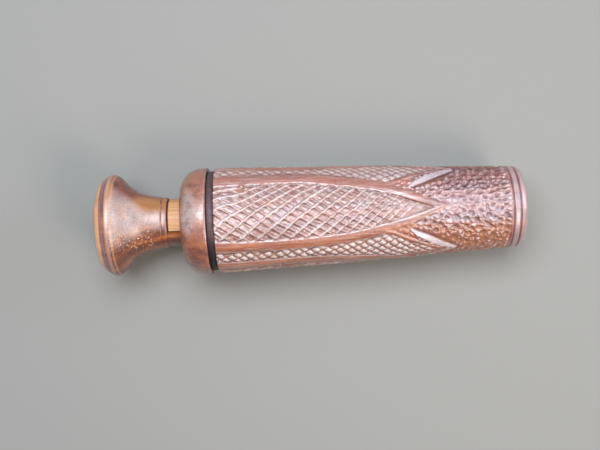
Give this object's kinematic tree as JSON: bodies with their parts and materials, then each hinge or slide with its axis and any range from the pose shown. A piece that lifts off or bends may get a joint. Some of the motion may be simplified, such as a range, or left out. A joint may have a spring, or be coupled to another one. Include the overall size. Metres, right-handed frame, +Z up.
{
  "type": "duck call",
  "caption": "Hand-carved wooden duck call: tapered carved barrel, flared slip-in insert with a half-round tone board, and a metal reed held down by a wedge block.",
  "frame": {"origin": "on the table, under the middle of the call's length, with its axis level 19.14 mm above it", "axes": "+X along the call's axis from the insert's bell to the mouth end of the barrel, +Z up, +Y to the far side"},
  "size_m": [0.1502, 0.0382, 0.0383],
  "materials": {
    "carved_wood": "hand-carved dark reddish-brown hardwood with an old satin oil finish, worn lighter on the crests",
    "turned_wood": "turned reddish-brown hardwood, polished by handling",
    "wedge_wood": "plain light cedar",
    "ring": "dark, dull",
    "reed": "rolled strip, satin"
  },
  "bodies": {
    "barrel": {"barrel": "carved_wood", "groove_ring": "ring"},
    "insert": {"insert": "turned_wood", "reed_root": "reed"},
    "wedge": {"wedge_block": "wedge_wood"},
    "reed": {"reed_tongue": "reed"}
  },
  "joints": [
    {"name": "insert_slide", "type": "slide", "parent": "barrel", "child": "insert", "axis": [-1, 0, 0], "range_m": [-0.0057, 0.06]},
    {"name": "wedge_slide", "type": "slide", "parent": "insert", "child": "wedge", "axis": [1, 0, 0], "range_m": [0, 0.03]},
    {"name": "reed_flex", "type": "hinge", "parent": "insert", "child": "reed", "pos_m": [-0.026, 0, 0.01914], "axis": [0, 0.4003, -0.9164], "range_deg": [-0.2, 1.5], "stiffness_Nm_per_rad": 0.15}
  ]
}
